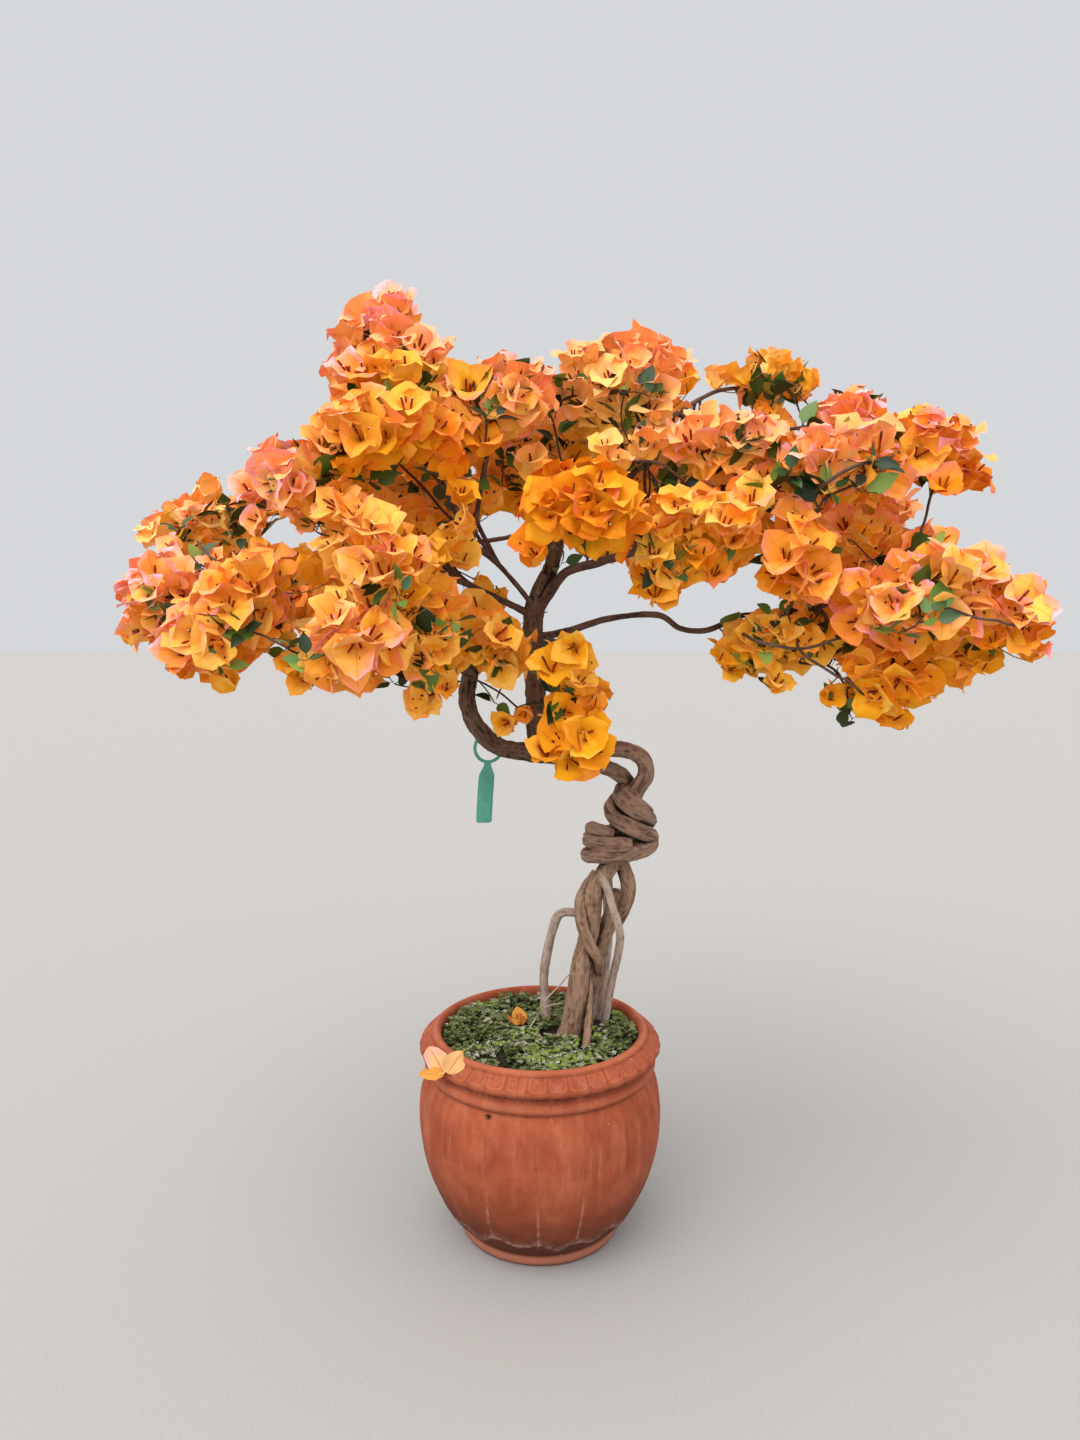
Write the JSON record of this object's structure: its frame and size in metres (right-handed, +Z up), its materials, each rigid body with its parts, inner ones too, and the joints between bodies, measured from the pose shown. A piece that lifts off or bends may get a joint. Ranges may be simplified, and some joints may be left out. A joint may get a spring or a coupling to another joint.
{
  "type": "potted bougainvillea bush",
  "caption": "Bougainvillea bush with twisted, knotted stems and a wide open crown of golden-orange and coral blossom, growing in a lobed terracotta pot; a display plant that stands on its foot.",
  "frame": {"origin": "middle of the flat underside of the pot", "axes": "+Z up; the bush's best side faces -Y; the crown is widest along X"},
  "size_m": [1.0075, 0.545, 1.1141],
  "materials": {
    "terracotta": "matte",
    "soil": "matte",
    "stem_bark": "matte",
    "root_bark": "matte",
    "bough_bark": "matte",
    "blossom": "matte",
    "leaf": "satin",
    "tag_plastic": "satin"
  },
  "bodies": {
    "root": {"pot": "terracotta", "soil": "soil", "stem_front": "stem_bark", "stem_middle": "stem_bark", "stem_back": "root_bark", "knot_core": "stem_bark", "stem_loop_right": "stem_bark", "stem_crossing": "root_bark", "aerial_root_left_lower": "root_bark", "aerial_root_left_upper": "root_bark", "aerial_root_right": "root_bark", "knot_coil_low": "stem_bark", "knot_coil_middle": "stem_bark", "knot_rope_low": "stem_bark", "knot_rope_high": "stem_bark", "neck_over": "stem_bark", "neck_under": "stem_bark", "trunk_bridge": "bough_bark", "trunk_upper": "bough_bark", "limb_up": "bough_bark", "limb_right": "bough_bark", "bough_left_low": "bough_bark", "bough_left_high": "bough_bark", "bough_up_left": "bough_bark", "bough_right_low": "bough_bark", "mass_top_left_crest": "blossom", "mass_top_left": "blossom", "mass_upper_left": "blossom", "mass_left_shoulder": "blossom", "mass_upper_middle": "blossom", "mass_centre_left": "blossom", "mass_back_left": "blossom", "mass_left_tip": "blossom", "mass_left_pad": "blossom", "mass_left_front": "blossom", "mass_left_low": "blossom", "mass_left_inner": "blossom", "mass_centre": "blossom", "mass_top_middle": "blossom", "mass_back_top_right": "blossom", "mass_right_upper": "blossom", "mass_right_middle": "blossom", "mass_right_droop": "blossom", "mass_right_top": "blossom", "mass_far_right_upper": "blossom", "mass_right_cluster": "blossom", "mass_right_small": "blossom", "mass_far_right": "blossom", "mass_far_right_low": "blossom", "mass_right_tip": "blossom", "mass_right_low": "blossom", "mass_front_flower": "blossom", "mass_front_cluster": "blossom", "mass_rear_upper_left": "blossom", "mass_rear_middle_left": "blossom", "mass_rear_left_low": "blossom", "mass_rear_centre": "blossom", "mass_rear_right": "blossom", "mass_rear_right_far": "blossom", "plant_tag": "tag_plastic"}
  },
  "joints": []
}
